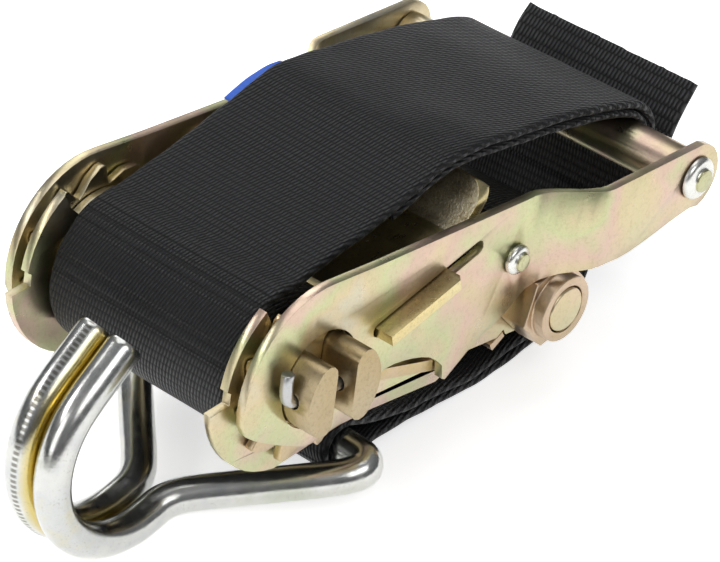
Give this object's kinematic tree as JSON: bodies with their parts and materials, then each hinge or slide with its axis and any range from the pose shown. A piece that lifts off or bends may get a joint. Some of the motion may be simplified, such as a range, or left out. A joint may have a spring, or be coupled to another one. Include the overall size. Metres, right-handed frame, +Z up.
{
  "type": "ratchet strap",
  "caption": "Ratchet buckle with wound webbing, a short sewn fixed strap and a double-J wire hook, handle folded shut over the webbing.",
  "frame": {"origin": "middle of the bounding box, at its bottom, where the part rests on the ground", "axes": "+X from the hook end towards the grip, along the part; +Y across the webbing, away from the lock nut; +Z up"},
  "size_m": [0.1764, 0.0884, 0.0643],
  "materials": {
    "yellow_zinc": "yellow passivated zinc plate, faintly iridescent",
    "dark_zinc": "yellow passivated zinc plate, in shade",
    "bright_zinc": "bright zinc plate",
    "spring_steel": "plain bright steel wire",
    "webbing": "black woven polyester webbing",
    "label": "blue woven label"
  },
  "bodies": {
    "frame": {"frame_plate_near": "yellow_zinc", "frame_plate_far": "yellow_zinc", "rear_bolt": "bright_zinc", "bolt_sleeve": "dark_zinc", "lock_nut": "yellow_zinc", "lock_spring_seat": "dark_zinc", "lock_spring": "spring_steel"},
    "lock_pawl": {"lock_pawl": "yellow_zinc"},
    "spindle": {"mandrel_front_half": "dark_zinc", "mandrel_rear_half": "dark_zinc", "ratchet_gear_near": "yellow_zinc", "ratchet_gear_far": "yellow_zinc", "split_pin_near": "spring_steel", "split_pin_far": "spring_steel", "webbing_roll": "webbing"},
    "handle": {"handle_plate_near": "yellow_zinc", "handle_plate_far": "yellow_zinc", "middle_rod": "bright_zinc", "grip_rod": "bright_zinc", "grip_tube": "yellow_zinc", "drive_spring": "spring_steel", "webbing_band": "webbing", "webbing_tail": "webbing", "webbing_label": "label"},
    "drive_pawl": {"drive_pawl": "dark_zinc"},
    "strap": {"fixed_strap": "webbing"},
    "hook": {"double_j_hook": "bright_zinc"}
  },
  "joints": [
    {"name": "handle_fold", "type": "hinge", "parent": "frame", "child": "handle", "pos_m": [-0.03961, 0, 0.0424], "axis": [0, -1, 0], "range_deg": [0, 90]},
    {"name": "spindle_spin", "type": "hinge", "parent": "frame", "child": "spindle", "pos_m": [-0.03961, 0, 0.0424], "axis": [0, -1, 0], "continuous": true},
    {"name": "drive_pawl_slide", "type": "slide", "parent": "handle", "child": "drive_pawl", "axis": [0.9945, 0, 0.1045], "range_m": [0, 0.006], "stiffness_N_per_m": 600, "springref_m": -0.004, "deforming": ["drive_spring"]},
    {"name": "lock_pawl_slide", "type": "slide", "parent": "frame", "child": "lock_pawl", "axis": [0.9078, 0, -0.4195], "range_m": [0, 0.006], "stiffness_N_per_m": 600, "springref_m": -0.004, "deforming": ["lock_spring"]},
    {"name": "strap_swing", "type": "hinge", "parent": "frame", "child": "strap", "pos_m": [0.02818, 0, 0.02136], "axis": [0, -1, 0], "range_deg": [0, 60]},
    {"name": "hook_swing", "type": "hinge", "parent": "strap", "child": "hook", "pos_m": [-0.02452, 0, 0.01051], "axis": [0, -1, 0], "range_deg": [0, 95]}
  ]
}
